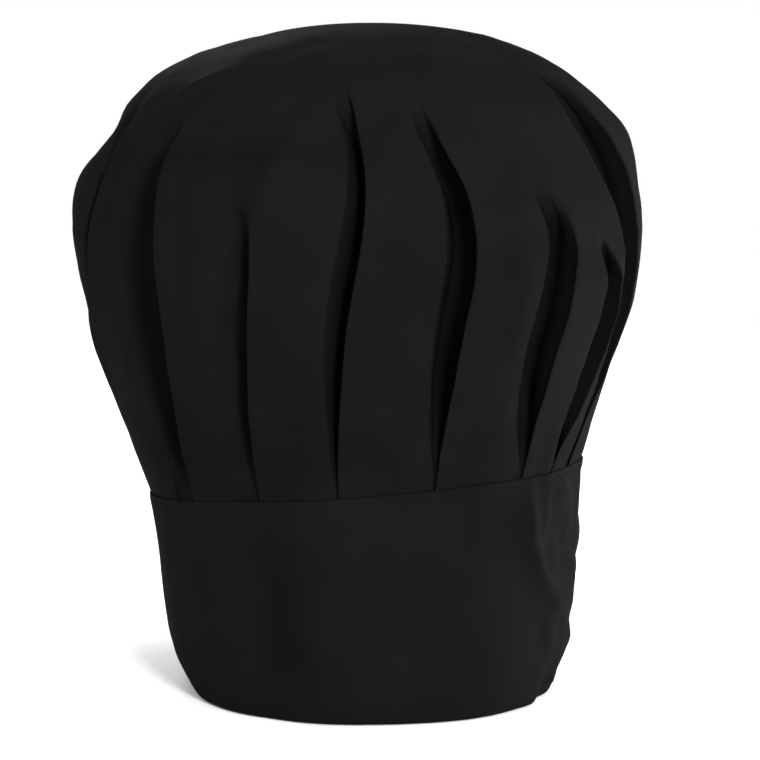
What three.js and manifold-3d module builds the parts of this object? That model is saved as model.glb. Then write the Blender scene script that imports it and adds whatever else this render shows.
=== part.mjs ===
// A floppy cook's hat (toque): a pleated cloth crown sewn into a tall doubled band, with a hook-and-loop
// closure at the back. Millimetres, +Z up. The hat stands on its rim at z = 0, the front faces -Y, and
// angles go round from the front, 0, through the wearer's left side, +X at 90, to the back at 180.
import * as THREE from "three";
import { mergeVertices } from "three/addons/utils/BufferGeometryUtils.js";
import Module from "manifold-3d";

// Overall sizes.
const HAT_HEIGHT = 300;
const BAND_HEIGHT = 95.5; // mean height of the seam between band and crown
const WIDEST_HEIGHT = 208; // where the crown is widest
const CROWN_HALF_WIDTH = 129.3;
const CROWN_HALF_DEPTH = 126;
const SEAM_HALF_WIDTH = 98.5; // of the band's outer face
const SEAM_HALF_DEPTH = 100;

// The band narrows to the rim, and its lower corner is turned in.
const BAND_TAPER = { width: 9.9, depth: 5 };
const RIM_TURN = { width: 6.3, depth: 2, height: 9 };

// The whole hat leans a little, and its seam is higher at the front and on the wearer's left.
const SEAM_TILT = { x: 7.5 / 98, y: -4.5 / 100 };
const CROWN_LEAN = -6.4;

// Plan shape: a superellipse, squarer at the rim than in the crown.
const RIM_SQUARENESS = 2.3;
const DOME_POWER = 2.15; // the crown's section above its widest height
const BELLY_POWER = 1.3; // and below it

// Cloth layers, each measured inwards from the band's outer face.
const CLOTH = 0.6;
const GAP = 0.3;
const LAYER_PITCH = CLOTH + GAP;
const HEM_TURN = 2 * LAYER_PITCH + CLOTH; // the outer layer turns in under the others at the rim
const CROWN_EDGE = 10; // depth of the crown's raw edge, held between the band's two faces

// Back closure: the band's free end, the tab, lies over its other end.
const TAB_ROOT = 160; // angle of the hinge line
const TAB_END = 198;
const TAB_CLEARANCE = 0.3; // degrees between the band's end and the tab's root
const TAB_MARGIN = 1.2; // the tab stops short of the seam and of the rim
const PATCH = { thickness: 0.7, from: 170, to: 195, bottom: 14, top: 82 };
const HOOK_INSET = 3 * LAYER_PITCH;
const LOOP_INSET = HOOK_INSET + PATCH.thickness + GAP;
const UNDERLAP_DEPTH = LOOP_INSET + PATCH.thickness + GAP; // the underlying end sits this far in
const UNDERLAP_RAMP = { from: 201, to: 220 };

// Slit in the crown above the closure, with a placket behind it.
const SLIT = { middle: 160, halfAngle: 1, height: 60, tip: 0.3 };
const PLACKET = { from: 150, to: 172, extra: 7 };
const BARTACK = { halfAngle: 3, height: 2.4, thickness: 0.8 };

// Pleats of the crown: the angle of each fold at the seam.
const PLEATS = [-62, -34, -7, 18, 45, 58, 72, 92, 112, 132, 182, 204, 226, 248, 272];
const PLEAT_DEPTH = 6;
const PLEAT_HALF_WIDTH = 4; // degrees
const PLEAT_FADE_HEIGHT = 235;

const THREAD_RADIUS = 0.4;
const THREAD_SIDES = 6;
const STEP = 5; // degrees between stations round the hat
const SLIT_STATIONS = 1.1; // the crown's two stations beside the slit stand this far from its middle

const degrees = THREE.MathUtils.degToRad;
const smooth = (value, from, to) => THREE.MathUtils.smoothstep(value, from, to);
const mix = THREE.MathUtils.lerp;

// How far the seam's tilt is felt at a height: fully at the seam, not at the rim or at the widest height.
function tiltShare(h) {
  return h < BAND_HEIGHT ? h / BAND_HEIGHT : 1 - smooth(h, BAND_HEIGHT, WIDEST_HEIGHT);
}

function leanAt(h) {
  if (h > WIDEST_HEIGHT) return CROWN_LEAN * (1 - ((h - WIDEST_HEIGHT) / (HAT_HEIGHT - WIDEST_HEIGHT)) ** 2);
  return CROWN_LEAN * Math.sin((Math.PI / 2) * (h / WIDEST_HEIGHT)) ** 2;
}

// Half width of the band's outer face, or of the crown's outside above the seam.
function halfWidth(h) {
  const seam = SEAM_HALF_WIDTH - LAYER_PITCH;
  if (h > WIDEST_HEIGHT) {
    const up = Math.min(1, (h - WIDEST_HEIGHT) / (HAT_HEIGHT - WIDEST_HEIGHT));
    return CROWN_HALF_WIDTH * (1 - up ** DOME_POWER) ** (1 / DOME_POWER);
  }
  if (h > BAND_HEIGHT) {
    const down = (WIDEST_HEIGHT - h) / (WIDEST_HEIGHT - BAND_HEIGHT);
    return CROWN_HALF_WIDTH - (CROWN_HALF_WIDTH - seam) * down ** BELLY_POWER;
  }
  const narrowing = BAND_TAPER.width * (1 - h / BAND_HEIGHT);
  return SEAM_HALF_WIDTH - narrowing - RIM_TURN.width * Math.exp(-h / RIM_TURN.height);
}

function depthRatio(h) {
  if (h > BAND_HEIGHT) {
    const seam = SEAM_HALF_DEPTH / SEAM_HALF_WIDTH;
    return mix(seam, CROWN_HALF_DEPTH / CROWN_HALF_WIDTH, smooth(h, BAND_HEIGHT, WIDEST_HEIGHT));
  }
  const narrowing = BAND_TAPER.depth * (1 - h / BAND_HEIGHT);
  return (SEAM_HALF_DEPTH - narrowing - RIM_TURN.depth * Math.exp(-h / RIM_TURN.height)) / halfWidth(h);
}

// A point of the hat: radius is measured along X, h is the height before the seam's tilt.
function place(radius, h, angle) {
  const across = Math.sin(degrees(angle));
  const ahead = Math.cos(degrees(angle));
  const power = mix(RIM_SQUARENESS, 2, smooth(h, 0, WIDEST_HEIGHT));
  const round = (Math.abs(across) ** power + Math.abs(ahead) ** power) ** (-1 / power);
  const x = radius * round * across;
  const y = -radius * depthRatio(h) * round * ahead;
  const tilt = SEAM_TILT.x * x + SEAM_TILT.y * y;
  return new THREE.Vector3(x + leanAt(h), y, h + tilt * tiltShare(h));
}

// Under the tab the band's other end, and the crown sewn to it, sit further in.
function underlap(angle, h) {
  const round = THREE.MathUtils.euclideanModulo(angle, 360);
  if (round < TAB_ROOT || round > UNDERLAP_RAMP.to) return 0;
  const alongBand = 1 - smooth(round, UNDERLAP_RAMP.from, UNDERLAP_RAMP.to);
  return UNDERLAP_DEPTH * alongBand * (1 - smooth(h, BAND_HEIGHT, BAND_HEIGHT + SLIT.height));
}

// Depth of the crown's grooves: each pleat starts at the seam and opens out below the top.
function pleatDepth(angle, h) {
  const rise = smooth(h, BAND_HEIGHT, BAND_HEIGHT + 40) * (1 - smooth(h, WIDEST_HEIGHT - 40, PLEAT_FADE_HEIGHT));
  let depth = 0;
  for (const pleat of PLEATS) {
    const away = THREE.MathUtils.euclideanModulo(angle - pleat + 180, 360) - 180;
    depth += PLEAT_DEPTH * Math.exp(-((away / PLEAT_HALF_WIDTH) ** 2));
  }
  return depth * rise;
}

// Moves each vertex of a geometry by a function of its old place.
function warp(geometry, move) {
  const position = geometry.getAttribute("position");
  const vertex = new THREE.Vector3();
  for (let i = 0; i < position.count; i++) {
    vertex.fromBufferAttribute(position, i);
    const moved = move(vertex);
    position.setXYZ(i, moved.x, moved.y, moved.z);
  }
  return geometry;
}

// The geometry with only positions, shared vertices merged and collapsed triangles left out.
function closed(geometry) {
  const bare = geometry.clone();
  bare.deleteAttribute("normal");
  bare.deleteAttribute("uv");
  const merged = mergeVertices(bare, 1e-3);
  const kept = [];
  for (let i = 0; i < merged.index.count; i += 3) {
    const [a, b, c] = [0, 1, 2].map((k) => merged.index.getX(i + k));
    if (a !== b && b !== c && c !== a) kept.push(a, b, c);
  }
  merged.setIndex(kept);
  return merged;
}

// The angles at which a strip's section is placed: its two ends, and between them the stations that all
// the layers share, so that the gaps between layers stay even.
function stations(from, to) {
  const angles = [from];
  const first = SLIT.middle - STEP / 2 - 360;
  for (let angle = first; angle < to - 0.5; angle += STEP) {
    if (angle > from + 0.5) angles.push(angle);
  }
  angles.push(to);
  return angles;
}

// A strip round the hat: its section, in (radius, height), is swept from one angle back to another.
function strip(section, from, to, inner = underlap) {
  const angles = stations(from, to);
  const steps = angles.length - 1;
  const straight = new THREE.ExtrudeGeometry(section, { depth: steps, steps, bevelEnabled: false });
  const bent = warp(straight, (v) => {
    const angle = angles[steps - Math.round(v.z)];
    return place(v.x - inner(angle, v.y), v.y, angle);
  });
  return closed(bent);
}

// A point of a section, given how far it lies inside the outer face.
const sectionPoint = (inset, h) => new THREE.Vector2(halfWidth(h) - inset, h);

// A rectangular section with extra stations at the heights given.
function wallSection(inset, thickness, bottom, top, rows) {
  const heights = [bottom, ...rows.filter((h) => h > bottom && h < top), top];
  const outside = heights.map((h) => sectionPoint(inset, h));
  const inside = heights.map((h) => sectionPoint(inset + thickness, h));
  return new THREE.Shape([...outside, ...inside.reverse()]);
}

const BAND_ROWS = [5, 12, 26, 55];
const NO_UNDERLAP = () => 0;

// The outer face turns in at the rim, so its section is an L lying on z = 0.
function bandOuter() {
  const outside = [0, ...BAND_ROWS, BAND_HEIGHT].map((h) => sectionPoint(0, h));
  const inside = [CLOTH, ...BAND_ROWS, BAND_HEIGHT].map((h) => sectionPoint(CLOTH, h)).reverse();
  const turnedIn = [sectionPoint(HEM_TURN, CLOTH), sectionPoint(HEM_TURN, 0)];
  const section = new THREE.Shape([...outside, ...inside, ...turnedIn]);
  return strip(section, TAB_ROOT + TAB_CLEARANCE, TAB_ROOT + 360 - TAB_CLEARANCE);
}

function bandLayer(number, bottom, top) {
  const section = wallSection(number * LAYER_PITCH, CLOTH, bottom, top, BAND_ROWS);
  return strip(section, TAB_ROOT + TAB_CLEARANCE, TAB_ROOT + 360 - TAB_CLEARANCE);
}

function tabLayer(number) {
  const bottom = TAB_MARGIN;
  const top = BAND_HEIGHT - TAB_MARGIN;
  const section = wallSection(number * LAYER_PITCH, CLOTH, bottom, top, BAND_ROWS);
  return strip(section, TAB_ROOT + TAB_CLEARANCE, TAB_END, NO_UNDERLAP);
}

function patch(inset) {
  const section = wallSection(inset, PATCH.thickness, PATCH.bottom, PATCH.top, BAND_ROWS);
  return strip(section, PATCH.from, PATCH.to, NO_UNDERLAP);
}

// The crown's section: down its outside from the top to the seam, then the edge held in the band, and back
// up the inside.
function crownProfile() {
  const outside = [];
  const DOME_STEPS = 8;
  const BELLY_STEPS = 7;
  for (let i = 0; i < DOME_STEPS; i++) {
    const turn = (Math.PI / 2) * (i / DOME_STEPS);
    const up = Math.cos(turn) ** (2 / DOME_POWER);
    const h = mix(WIDEST_HEIGHT, HAT_HEIGHT, up);
    outside.push(new THREE.Vector2(i === 0 ? 0 : halfWidth(h), h));
  }
  for (let i = 0; i <= BELLY_STEPS; i++) {
    const h = mix(WIDEST_HEIGHT, BAND_HEIGHT + 0.01, i / BELLY_STEPS);
    outside.push(new THREE.Vector2(halfWidth(h), h));
  }
  const edge = BAND_HEIGHT - CROWN_EDGE;
  outside.push(new THREE.Vector2(halfWidth(edge) - LAYER_PITCH, edge));
  const inside = outside.map((point, i) => {
    const before = outside[Math.max(0, i - 1)];
    const after = outside[Math.min(outside.length - 1, i + 1)];
    const along = after.clone().sub(before).normalize();
    if (i === 0) return new THREE.Vector2(0, point.y - CLOTH);
    if (i === outside.length - 1) return new THREE.Vector2(point.x - CLOTH, point.y);
    return new THREE.Vector2(point.x + along.y * CLOTH, point.y - along.x * CLOTH);
  });
  return [...inside, ...outside.reverse()];
}

// Draws the two stations beside the slit in to its sides.
function besideSlit(angle) {
  const away = THREE.MathUtils.euclideanModulo(angle, 360) - SLIT.middle;
  return Math.abs(away) < 0.51 * STEP ? SLIT.middle + away * (SLIT_STATIONS / (0.5 * STEP)) : angle;
}

function crownShell() {
  const start = degrees(SLIT.middle - 0.5 * STEP);
  const lathe = new THREE.LatheGeometry(crownProfile(), 360 / STEP, start, 2 * Math.PI);
  return closed(
    warp(lathe, (v) => {
      const angle = besideSlit(THREE.MathUtils.radToDeg(Math.atan2(v.x, v.z)));
      const radius = Math.hypot(v.x, v.z);
      if (radius < 1) return place(0, v.y, 0);
      return place(radius - underlap(angle, v.y) - pleatDepth(angle, v.y), v.y, angle);
    }),
  );
}

// The slit's cutter: a thin wedge through the crown's wall, from its raw edge up to the slit's tip.
function slitCutter() {
  const THROUGH = 12;
  const bottom = BAND_HEIGHT - CROWN_EDGE - 2;
  const top = BAND_HEIGHT + SLIT.height;
  const block = new THREE.BoxGeometry(1, 1, 1, 1, 12, 1);
  return closed(
    warp(block, (v) => {
      const h = mix(bottom, top, v.y + 0.5);
      const halfAngle = mix(SLIT.halfAngle, SLIT.tip, smooth(h, BAND_HEIGHT, top));
      return place(halfWidth(h) + 2 * THROUGH * v.z, h, SLIT.middle + 2 * halfAngle * v.x);
    }),
  );
}

const wasm = await Module();
wasm.setup();

function solid(geometry) {
  const vertProperties = geometry.getAttribute("position").array;
  const triVerts = new Uint32Array(geometry.index.array);
  return new wasm.Manifold(new wasm.Mesh({ numProp: 3, vertProperties, triVerts }));
}

function crownPuff() {
  const mesh = solid(crownShell()).subtract(solid(slitCutter())).getMesh();
  const geometry = new THREE.BufferGeometry();
  geometry.setAttribute("position", new THREE.BufferAttribute(mesh.vertProperties, 3));
  geometry.setIndex(new THREE.BufferAttribute(mesh.triVerts, 1));
  return geometry;
}

// The placket follows the slit's underlying side, and passes behind its other side.
function backPlacket() {
  const bottom = BAND_HEIGHT + 1.5;
  const top = BAND_HEIGHT + SLIT.height + PLACKET.extra;
  const rows = [1, 2, 3, 4].map((i) => mix(bottom, top, i / 5));
  const section = wallSection(CLOTH + 2 * GAP, CLOTH, bottom, top, rows);
  return strip(section, PLACKET.from, PLACKET.to, (angle, h) => underlap(TAB_ROOT, h));
}

// A short bar of dense stitches across the slit's tip.
function slitBartack() {
  const bottom = BAND_HEIGHT + SLIT.height + 1;
  const outwards = -GAP - BARTACK.thickness;
  const section = wallSection(outwards, BARTACK.thickness, bottom, bottom + BARTACK.height, []);
  const [from, to] = [SLIT.middle - BARTACK.halfAngle, SLIT.middle + BARTACK.halfAngle];
  return strip(section, from, to, NO_UNDERLAP);
}

// A row of thread along a list of places, lying just clear of the cloth.
function threadAlong(points, steps) {
  const section = new THREE.Shape();
  for (let i = 0; i < THREAD_SIDES; i++) {
    const turn = (2 * Math.PI * i) / THREAD_SIDES;
    const [x, y] = [THREAD_RADIUS * Math.cos(turn), THREAD_RADIUS * Math.sin(turn)];
    if (i === 0) section.moveTo(x, y);
    else section.lineTo(x, y);
  }
  const extrudePath = new THREE.CatmullRomCurve3(points);
  return closed(new THREE.ExtrudeGeometry(section, { steps, extrudePath, bevelEnabled: false }));
}

const THREAD_STAND_OFF = THREAD_RADIUS + GAP;

// A row of topstitching round the band, from its underlying end to its other one.
function bandStitch(h) {
  const from = TAB_END + 2;
  const to = TAB_ROOT + 360 - 1;
  const steps = Math.round((to - from) / STEP);
  const points = [];
  for (let i = 0; i <= steps; i++) {
    const angle = mix(from, to, i / steps);
    points.push(place(halfWidth(h) - underlap(angle, h) + THREAD_STAND_OFF, h, angle));
  }
  return threadAlong(points, steps);
}

// A box of stitching that holds a patch, on the face whose inset is given.
function boxStitch(inset) {
  const MARGIN = { angle: 1.2, height: 2 };
  const PER_SIDE = 6;
  const [from, to] = [PATCH.from + MARGIN.angle, PATCH.to - MARGIN.angle];
  const [bottom, top] = [PATCH.bottom + MARGIN.height, PATCH.top - MARGIN.height];
  const corners = [[from, bottom], [to, bottom], [to, top], [from, top], [from, bottom + 3]];
  const points = [];
  for (let side = 0; side < 4; side++) {
    for (let i = 0; i < PER_SIDE; i++) {
      const angle = mix(corners[side][0], corners[side + 1][0], i / PER_SIDE);
      const h = mix(corners[side][1], corners[side + 1][1], i / PER_SIDE);
      points.push(place(halfWidth(h) - inset, h, angle));
    }
  }
  return threadAlong(points, 4 * PER_SIDE * 2);
}

// The blank care label, sewn in inside the band beside the closure.
function careLabel() {
  const section = wallSection(3 * LAYER_PITCH, 0.5, 46, 84, [58, 71]);
  return strip(section, 222.5, 239);
}

const black = (name, roughness) => new THREE.MeshStandardMaterial({ name, color: 0x161618, roughness, metalness: 0 });
const twill = black("black_twill", 0.75);
const lining = black("lining", 0.85);
const stiffener = new THREE.MeshStandardMaterial({ name: "interfacing", color: 0xd8d6d0, roughness: 0.9 });
const hookTape = black("hook_tape", 0.5);
const loopTape = black("loop_tape", 0.95);
const thread = black("thread", 0.6);
const satin = black("label", 0.4);

const toque = new THREE.Group();

function add(parent, name, geometry, material) {
  const mesh = new THREE.Mesh(geometry, material);
  mesh.name = name;
  parent.add(mesh);
}

const INNER_BOTTOM = CLOTH + GAP; // the inner layers stand clear of the outer layer's turned rim
const INSIDE_FACE = UNDERLAP_DEPTH + HEM_TURN; // the underlying end's inner face
const hat = new THREE.Group();
add(hat, "crown_puff", crownPuff(), twill);
add(hat, "back_placket", backPlacket(), twill);
add(hat, "slit_bartack", slitBartack(), thread);
add(hat, "band_outer", bandOuter(), twill);
add(hat, "band_interfacing", bandLayer(1, INNER_BOTTOM, BAND_HEIGHT - CROWN_EDGE - 2 * GAP), stiffener);
add(hat, "band_inner_facing", bandLayer(2, INNER_BOTTOM, BAND_HEIGHT), lining);
add(hat, "loop_patch", patch(LOOP_INSET), loopTape);
add(hat, "loop_box_stitch", boxStitch(INSIDE_FACE + THREAD_STAND_OFF), thread);
add(hat, "seam_topstitch", bandStitch(BAND_HEIGHT - 3), thread);
add(hat, "hem_topstitch", bandStitch(5), thread);
add(hat, "care_label", careLabel(), satin);
toque.add(hat);

const tab = new THREE.Group();
add(tab, "tab_outer", tabLayer(0), twill);
add(tab, "tab_interfacing", tabLayer(1), stiffener);
add(tab, "tab_inner_facing", tabLayer(2), lining);
add(tab, "hook_patch", patch(HOOK_INSET), hookTape);
add(tab, "tab_box_stitch", boxStitch(-THREAD_STAND_OFF), thread);
toque.add(tab);

export default toque;
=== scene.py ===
"""A black cook's hat: knife-pleated crown, doubled band, hook-and-loop tab at the back. Metres, +Z up.

Angles go round the hat from the front, 0, through the wearer's left side, +X at 90, to the back at 180.
Heights are measured before the seam's tilt, as in the CAD model.
"""
import math

import bpy
import numpy as np
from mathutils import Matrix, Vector


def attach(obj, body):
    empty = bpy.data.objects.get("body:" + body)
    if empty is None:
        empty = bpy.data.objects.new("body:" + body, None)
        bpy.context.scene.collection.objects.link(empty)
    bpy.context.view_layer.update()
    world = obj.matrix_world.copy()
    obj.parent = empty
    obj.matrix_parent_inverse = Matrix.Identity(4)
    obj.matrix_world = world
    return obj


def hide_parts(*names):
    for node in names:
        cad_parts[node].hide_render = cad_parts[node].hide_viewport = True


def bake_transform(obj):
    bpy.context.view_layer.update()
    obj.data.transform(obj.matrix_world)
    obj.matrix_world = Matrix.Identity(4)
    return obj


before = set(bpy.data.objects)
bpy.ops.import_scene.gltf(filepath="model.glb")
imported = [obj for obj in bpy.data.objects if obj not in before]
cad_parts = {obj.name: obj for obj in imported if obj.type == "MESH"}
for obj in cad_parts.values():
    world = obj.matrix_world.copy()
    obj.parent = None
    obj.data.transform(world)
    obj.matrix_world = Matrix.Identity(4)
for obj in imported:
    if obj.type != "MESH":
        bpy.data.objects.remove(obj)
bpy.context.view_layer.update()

MM = 0.001

# -------- the hat's driving sizes, as in the CAD
HAT_HEIGHT = 300 * MM
SEAM_HEIGHT = 95.5 * MM
WIDEST_HEIGHT = 208 * MM
CROWN_HALF_WIDTH = 129.3 * MM
CROWN_HALF_DEPTH = 126 * MM
SEAM_HALF_WIDTH = 98.5 * MM
SEAM_HALF_DEPTH = 100 * MM
BAND_TAPER = (9.9 * MM, 5 * MM)
RIM_TURN = (6.3 * MM, 2 * MM)
RIM_TURN_HEIGHT = 9 * MM
SEAM_TILT = (7.5 / 98, -4.5 / 100)
CROWN_LEAN = -6.4 * MM
RIM_SQUARENESS = 2.3
DOME_POWER = 2.15
BELLY_POWER = 1.3
LAYER_PITCH = 0.9 * MM
TAB_ROOT = 160
TAB_END = 198
TAB_MARGIN = 1.2 * MM  # the tab stops short of the seam and of the rim
PATCH = {"from": 170, "to": 195, "bottom": 14 * MM, "top": 82 * MM}
HOOK_INSET = 2.7 * MM
LOOP_INSET = 3.7 * MM
SLIT_HEIGHT = 60 * MM
UNDERLAP_DEPTH = 4.7 * MM
UNDERLAP_RAMP = (201, 220)


def smooth(value, start, end):
    """Rises gently from 0 at start to 1 at end."""
    share = np.clip((value - start) / (end - start), 0, 1)
    return share * share * (3 - 2 * share)


def mix(a, b, share):
    return a + (b - a) * share


def lean_at(h):
    """How far the hat leans along X at a height."""
    above = CROWN_LEAN * (1 - (np.clip(h - WIDEST_HEIGHT, 0, None) / (HAT_HEIGHT - WIDEST_HEIGHT)) ** 2)
    below = CROWN_LEAN * np.sin(math.pi / 2 * np.clip(h / WIDEST_HEIGHT, 0, 1)) ** 2
    return np.where(h > WIDEST_HEIGHT, above, below)


def band_half_width(h):
    taper = BAND_TAPER[0] * (1 - h / SEAM_HEIGHT)
    return SEAM_HALF_WIDTH - taper - RIM_TURN[0] * np.exp(-h / RIM_TURN_HEIGHT)


def crown_half_width(h):
    up = np.clip((h - WIDEST_HEIGHT) / (HAT_HEIGHT - WIDEST_HEIGHT), 0, 1)
    dome = CROWN_HALF_WIDTH * (1 - up**DOME_POWER) ** (1 / DOME_POWER)
    down = np.clip((WIDEST_HEIGHT - h) / (WIDEST_HEIGHT - SEAM_HEIGHT), 0, 1)
    seam = SEAM_HALF_WIDTH - LAYER_PITCH
    belly = CROWN_HALF_WIDTH - (CROWN_HALF_WIDTH - seam) * down**BELLY_POWER
    return np.where(h > WIDEST_HEIGHT, dome, belly)


def half_width(h):
    return np.where(h > SEAM_HEIGHT, crown_half_width(h), band_half_width(h))


def depth_ratio(h):
    """The hat's depth over its width."""
    seam = SEAM_HALF_DEPTH / SEAM_HALF_WIDTH
    above = mix(seam, CROWN_HALF_DEPTH / CROWN_HALF_WIDTH, smooth(h, SEAM_HEIGHT, WIDEST_HEIGHT))
    taper = BAND_TAPER[1] * (1 - h / SEAM_HEIGHT)
    depth = SEAM_HALF_DEPTH - taper - RIM_TURN[1] * np.exp(-h / RIM_TURN_HEIGHT)
    return np.where(h > SEAM_HEIGHT, above, depth / band_half_width(h))


def place(radius, h, angle):
    """Points of the hat, stacked on a last axis. radius is measured along X; angle is in degrees."""
    across, ahead = np.sin(np.radians(angle)), np.cos(np.radians(angle))
    power = mix(RIM_SQUARENESS, 2, smooth(h, 0, WIDEST_HEIGHT))
    round_ = (np.abs(across) ** power + np.abs(ahead) ** power) ** (-1 / power)
    x = radius * round_ * across
    y = -radius * depth_ratio(h) * round_ * ahead
    share = np.where(h < SEAM_HEIGHT, h / SEAM_HEIGHT, 1 - smooth(h, SEAM_HEIGHT, WIDEST_HEIGHT))
    z = h + (SEAM_TILT[0] * x + SEAM_TILT[1] * y) * share
    return np.stack(np.broadcast_arrays(x + lean_at(h), y, z), axis=-1)


def underlap(angle, h):
    """How far in the band's underlying end, and the crown sewn to it, sit behind the tab."""
    round_ = np.mod(angle, 360)
    along = 1 - smooth(round_, *UNDERLAP_RAMP)
    depth = UNDERLAP_DEPTH * along * (1 - smooth(h, SEAM_HEIGHT, SEAM_HEIGHT + SLIT_HEIGHT))
    return np.where((round_ < TAB_ROOT) | (round_ > UNDERLAP_RAMP[1]), 0, depth)


# -------- smooth noise, the same at every run
def waves(points, size, seed, octaves=3):
    """Smooth noise from -1 to 1 at each point: sums of sine waves in fixed, seeded directions."""
    random = np.random.default_rng(seed)
    total = np.zeros(points.shape[:-1])
    gain = 0
    for octave in range(octaves):
        weight = 0.55**octave
        for _ in range(6):
            direction = random.normal(size=3)
            direction /= np.linalg.norm(direction)
            phase = random.uniform(0, 2 * math.pi)
            pitch = size / 2**octave * random.uniform(0.8, 1.25)
            total += weight * np.sin(points @ direction * (2 * math.pi / pitch) + phase)
        gain += weight * 6**0.5
    return total / gain / 1.2


# -------- camera, floor and light
def look(position, target):
    return (Vector(target) - Vector(position)).to_track_quat("-Z", "Y").to_euler()


def make_camera():
    """The hat fills the frame, seen from the front and 7 degrees above."""
    distance = 1.3
    elevation = math.radians(7)
    frame_width = 0.3455  # seen at the hat
    target = Vector((0.0041, 0, 0.1374))
    data = bpy.data.cameras.new("camera")
    data.sensor_width = 36
    data.lens = data.sensor_width * distance / frame_width
    camera = bpy.data.objects.new("camera", data)
    camera.location = target + distance * Vector((0, -math.cos(elevation), math.sin(elevation)))
    camera.rotation_euler = look(camera.location, target)
    bpy.context.scene.collection.objects.link(camera)
    bpy.context.scene.camera = camera


def area_light(name, position, size, power, aim):
    """A soft box turned to the hat's axis at the height aim."""
    data = bpy.data.lights.new(name, "AREA")
    data.shape = "RECTANGLE"
    data.size, data.size_y = size
    data.energy = power
    light = bpy.data.objects.new(name, data)
    light.location = position
    light.rotation_euler = look(position, (0, 0, aim))
    bpy.context.scene.collection.objects.link(light)


WORLD_LIGHT = 1.0
FLOOR_RADIUS = 1.6
FLOOR_DROP = 0.5 * MM  # the floor lies this much below the rim
CROWN_AIM, BAND_AIM = 0.16, 0.04
# Each soft box: where it stands, its width and height, its power in watts and the height it is turned to.
SOFT_BOXES = {
    "front_box": ((0.42, -1.57, 0.62), (0.3, 0.3), 37, CROWN_AIM),
    "low_right_box": ((1.1, 0.45, 0.08), (0.6, 0.14), 34, BAND_AIM),
    "low_left_box": ((-1.1, 0.45, 0.08), (0.5, 0.1), 7, BAND_AIM),
    "right_rim": ((1.2, 0.5, 0.5), (0.3, 0.3), 1, CROWN_AIM),
    "left_rim": ((-1.2, 0.6, 0.4), (0.3, 0.3), 1, CROWN_AIM),
    "back_box": ((-0.3, 1.6, 0.8), (0.3, 0.3), 6, CROWN_AIM),
    "top_box": ((0.1, -0.1, 1.2), (0.6, 0.6), 10, CROWN_AIM),
}


def make_studio():
    """A white surround, a white floor and soft boxes, the strongest in front and low at the right."""
    world = bpy.data.worlds.new("studio")
    world.use_nodes = True
    background = world.node_tree.nodes["Background"]
    background.inputs["Color"].default_value = (1, 1, 1, 1)
    background.inputs["Strength"].default_value = WORLD_LIGHT
    bpy.context.scene.world = world
    bpy.context.scene.view_settings.view_transform = "Standard"
    for name, (position, size, power, aim) in SOFT_BOXES.items():
        area_light(name, position, size, power, aim)
    bpy.ops.mesh.primitive_circle_add(
        vertices=96, radius=FLOOR_RADIUS, fill_type="NGON", location=(0, 0, -FLOOR_DROP)
    )
    floor = bpy.context.object
    floor.name = "floor"
    pale, *_ = principled("pale_floor", colour=grey(0.97), roughness=0.9)
    floor.data.materials.append(pale)


# -------- materials
def grey(level):
    return (level, level, level)


def principled(name, colour=(0.8, 0.8, 0.8), roughness=0.8, specular=0.08, sheen=0.0):
    """A material, with its nodes, its links and its shader."""
    material = bpy.data.materials.new(name)
    material.use_nodes = True
    shader = material.node_tree.nodes["Principled BSDF"]
    shader.inputs["Base Color"].default_value = (*colour, 1)
    shader.inputs["Roughness"].default_value = roughness
    shader.inputs["Specular IOR Level"].default_value = specular
    shader.inputs["Sheen Weight"].default_value = sheen
    shader.inputs["Sheen Roughness"].default_value = 0.3
    shader.inputs["Sheen Tint"].default_value = (0.8, 0.84, 0.92, 1)
    return material, material.node_tree.nodes, material.node_tree.links, shader


def calculator(nodes, links):
    """A function that adds a maths node on one or two values, each a number or a node's output."""

    def calculate(operation, a, b=None):
        node = nodes.new("ShaderNodeMath")
        node.operation = operation
        for socket, value in zip(node.inputs, (a, b)):
            if value is None:
                continue
            if isinstance(value, (int, float)):
                socket.default_value = value
            else:
                links.new(value, socket)
        return node.outputs[0]

    return calculate


def noise_node(nodes, links, vector, scale, detail):
    node = nodes.new("ShaderNodeTexNoise")
    node.inputs["Scale"].default_value = scale
    node.inputs["Detail"].default_value = detail
    links.new(vector, node.inputs["Vector"])
    return node.outputs["Fac"]


def finish_material(nodes, links, shader, shade, height, dark, light, relief):
    """Colours the surface from dark to light by shade, and raises it by height times relief."""
    ramp = nodes.new("ShaderNodeMix")
    ramp.data_type = "RGBA"
    links.new(shade, ramp.inputs["Factor"])
    ramp.inputs["A"].default_value = (*dark, 1)
    ramp.inputs["B"].default_value = (*light, 1)
    links.new(ramp.outputs["Result"], shader.inputs["Base Color"])
    bump = nodes.new("ShaderNodeBump")
    bump.inputs["Distance"].default_value = relief
    links.new(height, bump.inputs["Height"])
    links.new(bump.outputs["Normal"], shader.inputs["Normal"])


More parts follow.
